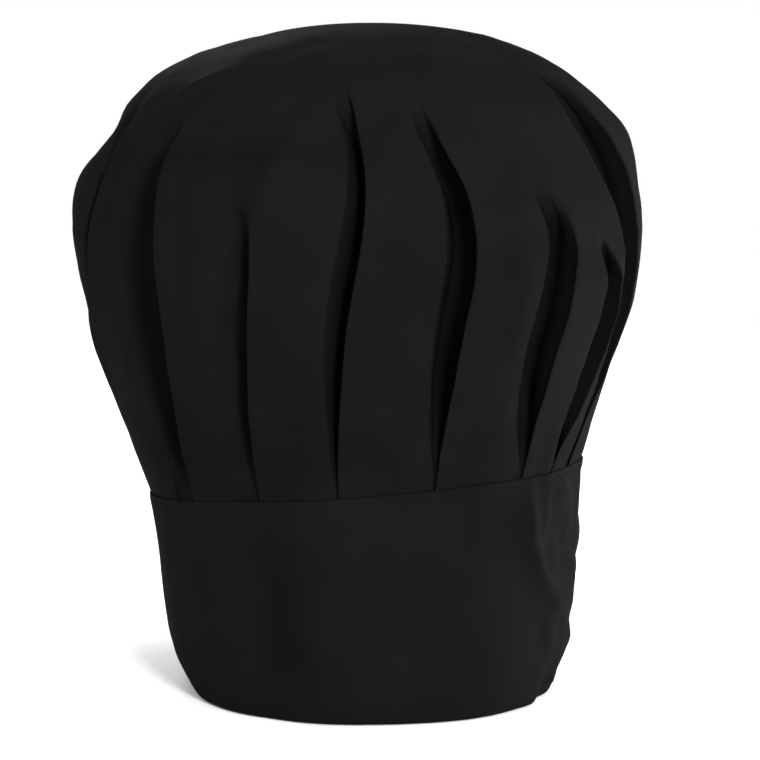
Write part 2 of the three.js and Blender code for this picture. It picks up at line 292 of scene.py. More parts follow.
def woven_material(
    name, dark, light, pitch=0.55 * MM, slope=1.2, relief=0.04 * MM, sheen=0.0, specular=0.002
):
    """Woven cloth: ribs broken into yarns, with slow changes of colour. A slope of 0 is a plain weave."""
    mottle_scale, fuzz_scale = 38, 900
    yarn_share, weave_share, fuzz_share, darkening = 0.4, 0.14, 0.5, 0.25
    material, nodes, links, shader = principled(name, roughness=0.7, specular=specular, sheen=sheen)
    calculate = calculator(nodes, links)
    uv = nodes.new("ShaderNodeUVMap")
    uv.uv_map = "cloth"
    split = nodes.new("ShaderNodeSeparateXYZ")
    links.new(uv.outputs["UV"], split.inputs[0])
    turns = 2 * math.pi / pitch
    along = calculate("MULTIPLY", split.outputs[0], turns)
    up = calculate("MULTIPLY", split.outputs[1], turns)
    diagonal = calculate("ADD", along, calculate("MULTIPLY", up, slope))
    ribs = calculate("SINE", diagonal)
    yarns = calculate("SINE", calculate("SUBTRACT", up, along))
    weave = calculate("ADD", ribs, calculate("MULTIPLY", yarns, yarn_share))
    position = nodes.new("ShaderNodeTexCoord").outputs["Object"]
    mottle = noise_node(nodes, links, position, mottle_scale, 5)
    fuzz = noise_node(nodes, links, uv.outputs["UV"], fuzz_scale, 2)
    shade = calculate("MULTIPLY", weave, weave_share)
    shade = calculate("ADD", shade, mottle)
    shade = calculate("ADD", shade, calculate("MULTIPLY", fuzz, fuzz_share))
    shade = calculate("SUBTRACT", shade, darkening)
    height = calculate("ADD", weave, fuzz)
    finish_material(nodes, links, shader, shade, height, dark, light, relief)
    return material


def fibre_material(name, dark, light, scale, relief, roughness=0.95, specular=0.1, sheen=0.0):
    """Felt, pile or spun thread: tangled fibres of a given scale, without a weave."""
    material, nodes, links, shader = principled(name, roughness=roughness, specular=specular, sheen=sheen)
    calculate = calculator(nodes, links)
    position = nodes.new("ShaderNodeTexCoord").outputs["Object"]
    fibres = noise_node(nodes, links, position, scale, 6)
    patches = noise_node(nodes, links, position, scale / 20, 3)
    shade = calculate("MULTIPLY", calculate("ADD", fibres, patches), 0.5)
    finish_material(nodes, links, shader, shade, fibres, dark, light, relief)
    return material


def make_materials():
    black = {"dark": (0.0034, 0.0034, 0.0036), "light": (0.0058, 0.0058, 0.006)}
    felt = {"dark": (0.55, 0.54, 0.5), "light": (0.8, 0.79, 0.75)}
    hook_tape = {"dark": grey(0.008), "light": grey(0.02), "pitch": 0.8 * MM}
    loop_tape = {"dark": grey(0.006), "light": grey(0.016), "pitch": 0.7 * MM}
    hooks = {"dark": grey(0.012), "light": grey(0.02), "scale": 300, "relief": 0.01 * MM}
    loops = {"dark": grey(0.01), "light": grey(0.024), "scale": 2000, "relief": 0.02 * MM}
    thread = {"dark": grey(0.0048), "light": grey(0.0075), "scale": 3500, "relief": 0.05 * MM}
    satin = {"dark": grey(0.02), "light": grey(0.035), "pitch": 0.3 * MM, "relief": 0.015 * MM}
    return {
        "twill": woven_material("black_twill", **black),
        "lining": woven_material("black_lining", **black, pitch=0.4 * MM, slope=0, relief=0.02 * MM),
        "interfacing": fibre_material("interfacing_felt", **felt, scale=900, relief=0.08 * MM),
        "hook_tape": woven_material("hook_tape", **hook_tape, slope=0),
        "loop_tape": woven_material("loop_tape", **loop_tape, slope=0, sheen=0.03),
        "hooks": fibre_material("hook_nylon", **hooks, roughness=0.35, specular=0.5),
        "loops": fibre_material("loop_nylon", **loops, roughness=0.9, sheen=0.2),
        "thread": fibre_material("black_thread", **thread, roughness=0.7, specular=0.0),
        "label": woven_material("satin_label", **satin, slope=0.25, sheen=0.1, specular=0.4),
    }


# -------- mesh helpers
def make_object(name, vertices, faces, material, uvs=None):
    """A smooth-shaded mesh. uvs gives each vertex's place on the flat cloth, in metres."""
    mesh = bpy.data.meshes.new(name)
    mesh.from_pydata([tuple(v) for v in vertices], [], [tuple(f) for f in faces])
    if uvs is not None:
        layer = mesh.uv_layers.new(name="cloth")
        loops = np.zeros(len(mesh.loops), dtype=np.int32)
        mesh.loops.foreach_get("vertex_index", loops)
        layer.data.foreach_set("uv", np.asarray(uvs)[loops].astype(np.float32).ravel())
    mesh.materials.append(material)
    mesh.polygons.foreach_set("use_smooth", [True] * len(mesh.polygons))
    mesh.validate()
    mesh.update()
    piece = bpy.data.objects.new(name, mesh)
    bpy.context.scene.collection.objects.link(piece)
    return piece


def apply_modifiers(piece):
    """Turns the piece's mesh into its modified one."""
    graph = bpy.context.evaluated_depsgraph_get()
    mesh = bpy.data.meshes.new_from_object(piece.evaluated_get(graph))
    old, piece.data = piece.data, mesh
    piece.modifiers.clear()
    bpy.data.meshes.remove(old)


def solidify(piece, thickness):
    """Gives a sheet its thickness, inwards from its outer face."""
    modifier = piece.modifiers.new("thickness", "SOLIDIFY")
    modifier.thickness = thickness
    modifier.offset = -1
    modifier.use_even_offset = False
    apply_modifiers(piece)


def grid_faces(numbers):
    """Quads of a grid, given each of its points' vertex numbers, row by row from the bottom."""
    low, high = numbers[:-1], numbers[1:]
    return np.stack([low[:, :-1], low[:, 1:], high[:, 1:], high[:, :-1]], axis=-1).reshape(-1, 4).tolist()


def grid_object(name, points, material, uvs):
    """A sheet over a grid of points."""
    numbers = np.arange(points[..., 0].size).reshape(points.shape[:2])
    return make_object(name, points.reshape(-1, 3), grid_faces(numbers), material, uvs.reshape(-1, 2))


def distance_along(points):
    """How far along a line of points each of them lies."""
    return np.concatenate([[0], np.cumsum(np.linalg.norm(np.diff(points, axis=0), axis=-1))])


def small_sheet(name, angle, h, points, thickness, material):
    """A small sheet over a grid, and the width and length of its cut."""
    width, length = cut_size(points)
    uvs = np.stack([(angle - angle[0, 0]) / np.ptp(angle) * width, h], axis=-1)
    piece = grid_object(name, points, material, uvs)
    solidify(piece, thickness)
    return piece, (width, length)


def cut_size(points):
    """Width and length of the flat piece that a grid of points was cut from."""
    across = np.linalg.norm(np.diff(points, axis=1), axis=-1).sum(axis=1).max()
    up = np.linalg.norm(np.diff(points, axis=0), axis=-1).sum(axis=0).mean()
    return float(across), float(up)


def dress(piece, nodes=(), body="hat"):
    """Hides the CAD parts the piece stands for and hangs the piece on the body it rides on."""
    if nodes:
        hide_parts(*nodes)
    if body:
        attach(piece, body)
    return piece


# -------- dents, swellings and soft creases
# Each swelling or dent: its angle, height (mm) and how far out it stands (mm), and its spread in degrees
# and in mm. Each crease: a few points along it as (angle, height), how far out, and its half width in mm.
BAND_SWELLINGS = [
    (-6, 58, 4.5, 11, 42),
    (-33, 58, -7, 10, 42),
    (-66, 50, 0.8, 12, 50),
    (12, 45, -0.8, 12, 40),
    (62, 62, -3, 8, 22),
    (-82, 4, -3.0, 18, 9),
    (78, 4, -1.5, 16, 9),
    (-88, 75, -1.6, 14, 26),
    (105, 50, 1.2, 16, 40),
    (262, 45, 1.0, 18, 40),
]
BAND_CREASES = [
    ([(44, 95), (45, 68), (53, 50), (66, 32)], 4.2, 5),
    ([(-15, 95), (-14, 55), (-13, 15)], 3, 10),
    ([(-27, 95), (-27, 55), (-26, 15)], -3, 12),
    ([(53, 92), (51, 68)], 1.0, 3),
    ([(70, 88), (66, 66), (74, 45)], 0.9, 4),
    ([(-86, 88), (-88, 50), (-84, 15)], 1.0, 3),
    ([(98, 88), (104, 50), (100, 20)], 0.9, 6),
    ([(268, 80), (262, 40), (266, 15)], 0.8, 6),
]
CROWN_SWELLINGS = [
    (-90, 195, -1.0, 14, 26),
    (-88, 251, -6.6, 20, 15),
    (-95, 130, -3.0, 22, 35),
    (-88, 216, -1.5, 16, 16),
    (88, 220, -1.8, 14, 16),
    (88, 250, 3.0, 14, 14),
    (88, 165, 2.2, 14, 22),
    (55, 290, -3.0, 30, 14),
    (-58, 215, -3.5, 9, 60),
    (-30, 262, -2.5, 8, 18),
    (-8, 226, -3.2, 6, 10),
    (34, 106, -3.0, 5, 9),
    (32, 124, 2.0, 5, 12),
    (-17, 122, -3, 8, 6),
    (-17, 107, 1.6, 8, 7),
    (58, 206, -1.5, 4, 10),
    (122, 195, 1.0, 12, 50),
    (205, 190, 1.0, 14, 50),
    (245, 200, 1.5, 13, 50),
]
CROWN_CREASES = [
    ([(-20, 212), (-13, 248), (-3, 272)], 4.2, 7),
    ([(2, 240), (8, 253), (15, 266)], 3.6, 6),
    ([(-60, 250), (-50, 262), (-44, 276)], 3.0, 5),
    ([(51, 290), (53, 268), (54, 245), (62, 215), (66, 190)], 2.4, 6),
    ([(22, 238), (28, 205), (32, 150)], -0.9, 5),
    ([(-42, 238), (-32, 250), (-24, 264)], 1.0, 7),
    ([(118, 250), (130, 262), (142, 272)], 1.5, 5),
    ([(187, 258), (176, 268), (160, 276)], 1.6, 5),
    ([(224, 254), (212, 264), (205, 274)], 1.5, 5),
    ([(98, 236), (104, 250), (107, 264)], 1.4, 5),
    ([(138, 190), (160, 182), (178, 200)], -1.2, 6),
]
CRUMPLED_FROM, CRUMPLED_TO = (45, 53), (88, 103)  # the crumpling of the band's side grows and fades here
CRUMPLE = 1.5 * MM
BACK_MIDDLE = 187.5
SMOOTH_BACK = (48, 62)  # degrees from the back's middle over which the band's relief comes in
SEAM_STITCH = SEAM_HEIGHT - 3 * MM
HEM_STITCH = 5 * MM


def hat_surface(angle, h):
    """The hat's smooth shape, without folds or dents."""
    return place(half_width(h), h, angle)


def swelling(swellings, angle, h):
    """Outward offset of the swellings and dents."""
    total = np.zeros(np.broadcast(angle, h).shape)
    for at, height, out, wide, tall in swellings:
        away = np.mod(angle - at + 180, 360) - 180
        total += out * MM * np.exp(-((away / wide) ** 2) - ((h - height * MM) / (tall * MM)) ** 2)
    return total


def creasing(creases, points):
    """Outward offset of the soft creases at points of the hat's smooth shape. They fade at their ends."""
    at_ends = 0.25
    total = np.zeros(points.shape[:-1])
    for path, out, half in creases:
        corners = [hat_surface(np.array(float(a)), np.array(h * MM)) for a, h in path]
        nearest = np.full(points.shape[:-1], 1e9)
        along = np.zeros(points.shape[:-1])
        last = len(corners) - 1
        for i, (a, b) in enumerate(zip(corners, corners[1:])):
            share = np.clip((points - a) @ (b - a) / np.sum((b - a) ** 2), 0, 1)
            away = np.linalg.norm(points - (a + share[..., None] * (b - a)), axis=-1)
            along = np.where(away < nearest, (i + share) / last, along)
            nearest = np.minimum(nearest, away)
        ends = smooth(along, 0, 0.2) * (1 - smooth(along, 0.8, 1))
        total += out * MM * np.exp(-((nearest / (half * MM)) ** 2)) * (at_ends + (1 - at_ends) * ends)
    return total


def band_relief(angle, h):
    """How far the band stands out of its smooth shape. The closure at the back stays smooth."""
    points = hat_surface(angle, h)
    round_ = np.mod(angle, 360)
    crumpled = smooth(round_, *CRUMPLED_FROM) * (1 - smooth(round_, *CRUMPLED_TO))
    total = swelling(BAND_SWELLINGS, angle, h) + creasing(BAND_CREASES, points)
    wander = 0.5 * MM * waves(points, size=70 * MM, seed=7, octaves=2)
    total += wander + crumpled * CRUMPLE * waves(points, size=26 * MM, seed=11, octaves=2)
    return total * smooth(np.abs(round_ - BACK_MIDDLE), *SMOOTH_BACK)


def hem_relief(angle, h):
    """The dimples along the rows of stitches, and the puckers beside them."""
    dimple, dimple_half = 0.1 * MM, 1.1 * MM
    pucker, pucker_half = 0.16 * MM, 5 * MM
    points = hat_surface(angle, h)
    total = np.zeros(points.shape[:-1])
    for stitch in (SEAM_STITCH, HEM_STITCH):
        near = np.exp(-(((h - stitch) / dimple_half) ** 2))
        around = np.exp(-(((h - stitch) / pucker_half) ** 2))
        total += pucker * around * waves(points, size=9 * MM, seed=13, octaves=1) - dimple * near
    return total


# -------- the crown's pleats
class Pleat:
    """One pleat of the crown. path gives the angle of its visible fold, the lip, at some heights (mm) from
    the seam up, and top the height where it has opened out. Left of the lip, seen from outside, lies a
    groove, spindle-shaped from seam to top, with its greatest width and depth in mm. foot is its width at
    the seam, as a share, and soft how gently its far side rolls in. reach is how far the cloth goes in under
    the lip at the seam, fade the height over which the fold opens out, lip how proud the lip stands. A
    higher skew puts the widest place further up. The groove slopes in evenly, or has a flat floor if hollow
    is 1. panel is the share of the cloth up to the next pleat that runs straight on from the lip."""

    def __init__(
        self, path, top, width, depth,
        foot=0.1, soft=2.0, reach=22.0, fade=40, lip=0.8, skew=1.15, hollow=0, panel=0.25,
    ):
        self.path = path
        self.top = top * MM
        self.width = width * MM
        self.depth = depth * MM
        self.foot = foot
        self.soft = soft * MM
        self.reach = reach * MM
        self.fade = fade * MM
        self.lip = lip * MM
        self.skew = skew
        self.hollow = hollow
        self.panel = panel

    def angle(self, h):
        heights = np.array([p[0] for p in self.path]) * MM
        angles = np.array([p[1] for p in self.path], float)
        return spline(heights, angles, h)


def spline(xs, ys, x):
    """A smooth curve through a few points, level with the end ones beyond them."""
    slopes = np.gradient(ys, xs)
    slopes[0] *= 0.5
    slopes[-1] = 0
    x = np.clip(x, xs[0], xs[-1])
    i = np.clip(np.searchsorted(xs, x) - 1, 0, len(xs) - 2)
    width = xs[i + 1] - xs[i]
    t = (x - xs[i]) / width
    start, end = ys[i], ys[i + 1]
    return (
        start * (2 * t**3 - 3 * t**2 + 1)
        + end * (3 * t**2 - 2 * t**3)
        + slopes[i] * width * (t**3 - 2 * t**2 + t)
        + slopes[i + 1] * width * (t**3 - t**2)
    )


# From the back slit round by the wearer's right, the front and the left, back to the slit.
PLEATS = [
    Pleat([(95, -177), (150, -176), (230, -173)], 266, 9, 13, soft=3, reach=12),
    Pleat([(95, -155), (150, -154), (200, -151)], 222, 8, 13, foot=0.6, soft=5, fade=30),
    Pleat([(95, -133), (150, -132), (220, -136)], 262, 10, 15),
    Pleat([(95, -111), (150, -109), (200, -106)], 240, 8, 13, soft=3),
    Pleat([(95, -87), (180, -68), (215, -62), (250, -60)], 278, 7, 14, soft=3, lip=2.4, panel=0.12),
    Pleat([(95, -47), (150, -42), (240, -40)], 268, 38, 22, foot=0.3, soft=5, lip=3, hollow=1),
    Pleat([(95, -27), (150, -23), (220, -19)], 230, 17, 20, foot=0.8, soft=9, fade=30),
    Pleat([(95, -6), (165, -2), (235, 2), (270, -1)], 274, 9, 20, soft=2, fade=24),
    Pleat([(95, 18), (150, 21), (225, 22), (265, 15)], 268, 12, 24, soft=2.5, fade=24),
    Pleat(
        [(95, 42), (145, 45), (180, 47), (225, 44), (250, 38), (280, 30)], 238, 15, 24, soft=8, reach=11
    ),
    Pleat(
        [(95, 54), (125, 62), (190, 65), (215, 54), (250, 44), (280, 38)], 210, 16, 18,
        reach=6, fade=25, panel=0.1,
    ),
    Pleat(
        [(95, 66), (130, 74), (175, 78), (215, 74), (245, 68), (270, 66)], 292, 30, 17,
        soft=4, reach=8, skew=2, hollow=0.5,
    ),
    Pleat([(95, 90), (150, 94), (220, 99)], 262, 7, 11, reach=9),
    Pleat([(95, 112), (150, 114), (230, 118)], 258, 9, 14, reach=16),
    Pleat([(95, 135), (150, 136), (210, 139)], 228, 8, 12, foot=0.5, soft=4, reach=8, fade=30),
]

CROWN_CLOTH = 0.45 * MM
SEAM_FOLD_GAP = 0.62 * MM  # from one layer of a pleat to the next, at the seam
UPPER_REACH = 6 * MM
ROWS_IN_BAND, ROWS_BELLY, ROWS_DOME = 3, 44, 48
DEEP_FROM, DEEP_TO = (SEAM_HEIGHT, 150 * MM), (245 * MM, 275 * MM)  # the pleats grow deep, then shallow
SLIT_HALF_ANGLE = (1.0, 0.3)  # of the back slit, at the seam and at its tip
SLIT_TOP = SEAM_HEIGHT + SLIT_HEIGHT
TOP_SETTLING = 1.4 * MM  # the soft top sits this much below the hat's full height

# Where each point of a pleat's section lies, across its stretch of cloth, once the pleat has opened out.
SHARES = np.array([0, 0.15, 0.28, 0.35, 0.41, 0.47, 0.52, 0.57, 0.62, 0.68, 0.74, 0.82, 1.0])
SAMPLES = 3  # columns per stretch between those points


def fold_section(left, right, width, depth, soft, reach, gap, lip, hollow):
    """Points of one fold's section, as (along, out) pairs of arrays over the rows. The cloth comes from the
    left, rolls into the groove, passes under the lip, turns back and runs on rightwards over the lip."""
    zero = np.zeros_like(left)
    soft = np.minimum(soft, 0.45 * left)
    width = np.minimum(width, 0.85 * (left - soft))
    start = width + soft
    return [
        (-left, zero),
        (-start - 0.35 * (left - start), zero),
        (-start, -0.02 * depth),
        (-width - 0.2 * soft, mix(-0.12, -0.2, hollow) * depth),
        (-mix(0.62, 0.8, hollow) * width, mix(-0.48, -0.8, hollow) * depth),
        (-0.1 * width, mix(-0.92, -1, hollow) * depth),
        (0.6 * reach, -depth - 0.15 * gap),
        (reach + gap, -0.75 * depth),
        (0.55 * reach, -0.4 * depth - 0.3 * gap),
        (0.12 * reach, -gap),
        (-0.25 * gap, -0.1 * gap + 0.6 * lip),
        (0.1 * right, lip),
        (right, zero),
    ]


def section_curve(points, samples):
    """A smooth curve through the section's points, with a number of samples on each stretch."""
    along = np.stack([p[0] for p in points])
    out = np.stack([p[1] for p in points])
    columns = []
    last = len(points) - 1
    for i in range(last):
        for s in range(samples):
            t = s / samples
            weights = (
                -0.5 * t**3 + t**2 - 0.5 * t,
                1.5 * t**3 - 2.5 * t**2 + 1,
                -1.5 * t**3 + 2 * t**2 + 0.5 * t,
                0.5 * t**3 - 0.5 * t**2,
            )
            near = [max(0, i - 1), i, i + 1, min(last, i + 2)]
            blended_along = sum(w * along[k] for w, k in zip(weights, near))
            blended_out = sum(w * out[k] for w, k in zip(weights, near))
            columns.append((blended_along, blended_out))
    return columns


def crown_heights():
    """The height of each row of the crown's cloth, from its sewn-in edge to just short of the pole."""
    in_band = np.linspace(SEAM_HEIGHT - 6 * MM, SEAM_HEIGHT - 1 * MM, ROWS_IN_BAND)
    belly = np.linspace(SEAM_HEIGHT + 0.6 * MM, WIDEST_HEIGHT, ROWS_BELLY)
    turn = np.linspace(math.pi / 2, 0, ROWS_DOME, endpoint=False)[1:]
    dome = mix(WIDEST_HEIGHT, HAT_HEIGHT, np.cos(turn) ** (2 / DOME_POWER))
    return np.concatenate([in_band, belly, dome])


def crown_surface(angle, h):
    """The crown before its pleats. Just above the seam it takes the band's dents."""
    radius = half_width(h) - np.where(h < SEAM_HEIGHT, LAYER_PITCH, 0)
    dents = band_relief(angle, np.minimum(h, SEAM_HEIGHT)) * (1 - smooth(h, SEAM_HEIGHT, 1.4 * SEAM_HEIGHT))
    return place(radius - underlap(angle, h) + dents, h, angle)


def crown_normal(angle, h):
    """The crown's outward direction, taken over a taller stretch of it where the pleats are deep."""
    deep = smooth(h, *DEEP_FROM) * (1 - smooth(h, *DEEP_TO))
    step = mix(0.4 * MM, 12 * MM, deep)
    low, high = np.maximum(h - step, 0), np.minimum(h + step, HAT_HEIGHT - 0.01 * MM)
    up = crown_surface(angle, high) - crown_surface(angle, low)
    round_ = crown_surface(angle + 0.2, h) - crown_surface(angle - 0.2, h)
    normal = np.cross(round_, up)
    return normal / np.maximum(np.linalg.norm(normal, axis=-1, keepdims=True), 1e-12)


def fold_columns(pleat, fold, left, right, per_degree, h):
    """Angle and outward offset of each column of one pleat."""
    up = np.clip((h - SEAM_HEIGHT) / (pleat.top - SEAM_HEIGHT), 0, 1)
    folded = 1 - smooth(h, pleat.top - pleat.fade, pleat.top)
    spindle = np.sin(math.pi * up**pleat.skew) ** 0.75
    width = pleat.width * np.maximum(spindle, mix(pleat.foot, 0, up))
    depth = mix(2 * SEAM_FOLD_GAP, pleat.depth, smooth(up, 0, 0.28)) * mix(1, 0.6, smooth(up, 0.7, 1))
    gap = mix(SEAM_FOLD_GAP, 1.8 * MM, smooth(up, 0, 0.35))
    reach = mix(pleat.reach, UPPER_REACH, smooth(up, 0, 0.7))
    soft = mix(0.5 * MM, pleat.soft, smooth(up, 0, 0.2))
    lip = mix(0.1 * MM, pleat.lip, smooth(up, 0, 0.4))
    corners = fold_section(left, right, width, depth, soft, reach, gap, lip, pleat.hollow)
    section = section_curve(corners, SAMPLES)
    shares = np.interp(np.arange(len(section)) / SAMPLES, np.arange(len(SHARES)), SHARES)
    for (along, out), share in zip(section, shares):
        open_along = mix(-left, right, share)
        yield fold + mix(open_along, along, folded) / per_degree, out * folded


def crown_grid():
    """Height of each row of the crown's cloth, and the angle and outward offset of each of its points."""
    h = crown_heights()
    folds = [pleat.angle(h) for pleat in PLEATS]
    middles = [mix(fold, after, pleat.panel) for fold, after, pleat in zip(folds, folds[1:], PLEATS)]
    edges = [np.full(h.shape, TAB_ROOT - 360.0), *middles, np.full(h.shape, float(TAB_ROOT))]
    per_degree = np.maximum(half_width(h), 4 * MM) * math.pi / 180
    angles, offsets = [], []
    for i, pleat in enumerate(PLEATS):
        left = (folds[i] - edges[i]) * per_degree
        right = (edges[i + 1] - folds[i]) * per_degree
        for angle, offset in fold_columns(pleat, folds[i], left, right, per_degree, h):
            angles.append(angle)
            offsets.append(offset)
    angles.append(edges[-1])
    offsets.append(np.zeros_like(h))
    half_slit = np.where(h < SLIT_TOP, mix(*SLIT_HALF_ANGLE, smooth(h, SEAM_HEIGHT, SLIT_TOP)), 0)
    angles[0] = angles[0] + half_slit
    angles[-1] = angles[-1] - half_slit
    return h, np.stack(angles, axis=1), np.stack(offsets, axis=1)


def crown_faces(h, columns):
    """The crown's faces. Its two edges meet at the back, and are joined above the slit."""
    numbers = np.arange(len(h) * columns).reshape(len(h), columns)
    numbers[h >= SLIT_TOP, -1] = numbers[h >= SLIT_TOP, 0]
    pole = len(h) * columns
    top = numbers[-1]
    faces = grid_faces(numbers) + [(int(a), int(b), pole) for a, b in zip(top, top[1:])]
    used = np.unique(np.concatenate([np.ravel(face) for face in faces]))
    renumber = np.full(pole + 1, -1)
    renumber[used] = np.arange(len(used))
    return [tuple(int(renumber[v]) for v in face) for face in faces], used


def crown_offset(angle, height, base, offset):
    """Offset of the crown's points: folds, dents, slow wandering, and the top's settling."""
    fade = smooth(height, SEAM_HEIGHT, SEAM_HEIGHT + 40 * MM)
    top_fade = 1 - smooth(height, 0.97 * HAT_HEIGHT, HAT_HEIGHT)
    slow = 1.2 * MM * waves(base, size=95 * MM, seed=3, octaves=2)
    quick = 0.45 * MM * waves(base, size=26 * MM, seed=5, octaves=2)
    dents = swelling(CROWN_SWELLINGS, angle, height) + creasing(CROWN_CREASES, base)
    settling = TOP_SETTLING * smooth(height, 0.9 * HAT_HEIGHT, HAT_HEIGHT)
    return offset + fade * (top_fade * (dents + (slow + quick)) - settling)


def crown_flat(base, points):
    """Each point's place on the flat circle, and that circle's radius."""
    meridian = distance_along(base[:, 0])
    from_centre = meridian[-1] - meridian
    run = np.cumsum(np.linalg.norm(np.diff(points, axis=1), axis=-1), axis=1)
    turn = 2 * math.pi * np.hstack([np.zeros((len(base), 1)), run / run[:, -1:]])
    flat = from_centre[:, None, None] * np.stack([np.sin(turn), np.cos(turn)], axis=-1)
    return flat, from_centre[0]


def make_crown(material):
    h, angle, offset = crown_grid()
    height = np.broadcast_to(h[:, None], angle.shape)
    base = crown_surface(angle, height)
    out = crown_offset(angle, height, base, offset)
    points = base + crown_normal(angle, height) * out[..., None]
    pole = [[float(lean_at(np.array(HAT_HEIGHT))), 0, HAT_HEIGHT - TOP_SETTLING - 0.1 * MM]]
    flat, radius = crown_flat(base, points)
    faces, used = crown_faces(h, angle.shape[1])
    vertices = np.vstack([points.reshape(-1, 3), pole])[used]
    uvs = np.vstack([flat.reshape(-1, 2), [[0, 0]]])[used]
    piece = make_object("crown", vertices, faces, material, uvs)
    solidify(piece, CROWN_CLOTH)
    dress(piece, ["crown_puff"])
    return points


# -------- the band, its tab and their layers
BAND_FROM = TAB_ROOT - 6  # the underlying end, which reaches a little way in behind the band
BAND_TO = TAB_ROOT + 345  # where the band passes into the tab
TAB_FROM, TAB_TO = BAND_TO, TAB_END + 360
THICKNESS = 0.5 * MM
INNER_BOTTOM = 0.9 * MM  # the inner layers stop this much above the rim
FACING_INSET, FACING_BULGE = 1.8 * MM, 1.3 * MM
BEND = (TAB_ROOT - 8, TAB_ROOT + 8)  # angles either side of the tab's root; no bend is set up between them


def layer_point(angle, h, inset, overlying=False):
    """A point of a layer of the band, or of the overlying tab, at an inset from the outer face."""
    behind = 0
    if not overlying:
        behind = np.where(angle < TAB_ROOT + 1, underlap(TAB_ROOT + 1, h), underlap(angle, h))
    return place(half_width(h) - inset - behind + band_relief(angle, h), h, angle)


def layer_out(angle, h, inset, overlying=False):
    """The layer's outward direction."""
    turn, rise = 0.3, 0.3 * MM
    round_ = layer_point(angle + turn, h, inset, overlying) - layer_point(angle - turn, h, inset, overlying)
    up = layer_point(angle, h + rise, inset, overlying) - layer_point(angle, h - rise, inset, overlying)
    normal = np.cross(round_, up)
    return normal / np.linalg.norm(normal, axis=-1, keepdims=True)


def closure_bend(piece):
    """Bakes a piece of the tab's transform into its mesh. The points at its root are worked out, but nothing
    bends the piece there.
    """
    start, end = (layer_point(np.array(float(a)), np.array(SEAM_HEIGHT / 2), 0, True) for a in BEND)
    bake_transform(piece)


def turned_section():
    """The outer layer's section as (inset, height up from the rim, height down from the top), in mm: turned
    in along the rim, up the outer face and rolled over at the top."""
    rim = [(2.3, 0), (1.6, 0), (1.0, 0.02), (0.55, 0.15), (0.22, 0.45), (0.06, 0.9)]
    top = [(0.03, 0.9), (0.12, 0.45), (0.32, 0.15), (0.6, 0.0)]
    return rim, top


def outer_grid(angles, overlying, roll=0.0):
    """Angles, heights and insets of the outer layer's points. roll is a further inset of each column."""
    margin = TAB_MARGIN * smooth(angles, TAB_FROM, TAB_ROOT + 360) * overlying
    rim, top = turned_section()
    low, high = margin, SEAM_HEIGHT - margin
    rows = [(np.full_like(angles, inset * MM), low + up * MM) for inset, up in rim]
    near_rim, middle, near_seam = (0.015, 0.1, 10), (0.13, 0.88, 32), (0.9, 0.985, 10)
    face = np.concatenate([np.linspace(*part) for part in (near_rim, middle, near_seam)])
    rows += [(np.zeros_like(angles), mix(low, high, share)) for share in face]
    rows += [(np.full_like(angles, inset * MM), high - down * MM) for inset, down in top]
    insets = np.stack([np.maximum(row[0], roll) for row in rows])
    heights = np.stack([row[1] for row in rows])
    return np.broadcast_to(angles, heights.shape), heights, insets


def make_layer(name, grid, materials, slot, node, overlying=False, stitched=False):
    """A sheet of the band or tab over a grid of angles, heights and insets, in its slot's material."""
    angle, h, inset = grid
    raised = hem_relief(angle, h) if stitched else 0
    points = layer_point(angle, h, inset - raised, overlying)
    around = distance_along(points[len(points) // 2])
    down = distance_along(points[:, 0])
    uvs = np.stack(np.meshgrid(around, down), axis=-1)
    piece = grid_object(name, points, materials[slot], uvs)
    solidify(piece, THICKNESS)
    dress(piece, [node], body=None if overlying else "hat")
    if overlying:
        closure_bend(piece)


def wall_grid(angles, bottom, top, inset, rows):
    """A plain wall of cloth. inset is a number or a function of height."""
    h = np.linspace(bottom, top, rows)
    height = np.broadcast_to(h[:, None], (rows, len(angles)))
    depth = inset(height) if callable(inset) else np.full(height.shape, inset)
    return np.broadcast_to(angles, height.shape), height, depth


def facing_inset(h):
    """The inner facing passes inside the crown's folded edge at the top."""
    return FACING_INSET + FACING_BULGE * smooth(h, 83 * MM, 89.5 * MM)


def make_band(materials):
    around = np.linspace(BAND_FROM, BAND_TO, 461)
    crown_edge = 85 * MM
    outer = outer_grid(around, overlying=False)
    make_layer("band", outer, materials, "twill", "band_outer", stitched=True)
    stiff = wall_grid(around, INNER_BOTTOM, crown_edge, LAYER_PITCH + 0.2 * MM, rows=44)
    make_layer("band_stiffener", stiff, materials, "interfacing", "band_interfacing")
    inside = wall_grid(around, INNER_BOTTOM, SEAM_HEIGHT, facing_inset, rows=49)
    make_layer("band_facing", inside, materials, "lining", "band_inner_facing")


def make_tab(materials):
    columns = 72
    around = np.linspace(TAB_FROM, TAB_TO - 0.3, columns)
    rolled = np.concatenate([around, [TAB_TO - 0.12, TAB_TO, TAB_TO, TAB_TO - 0.1]])
    roll = np.concatenate([np.zeros(columns), np.array([0.12, 0.5, 1.1, 1.7]) * MM])
    low, high = INNER_BOTTOM + TAB_MARGIN, SEAM_HEIGHT - TAB_MARGIN
    outer = outer_grid(rolled, True, roll)
    make_layer("tab", outer, materials, "twill", "tab_outer", overlying=True, stitched=True)
    stiff = wall_grid(around[:-3], low, high - 6 * MM, LAYER_PITCH, rows=12)
    make_layer("tab_stiffener", stiff, materials, "interfacing", "tab_interfacing", overlying=True)
    inside = wall_grid(around[:-1], low, high - 0.6 * MM, FACING_INSET, rows=20)
    make_layer("tab_facing", inside, materials, "lining", "tab_inner_facing", overlying=True)


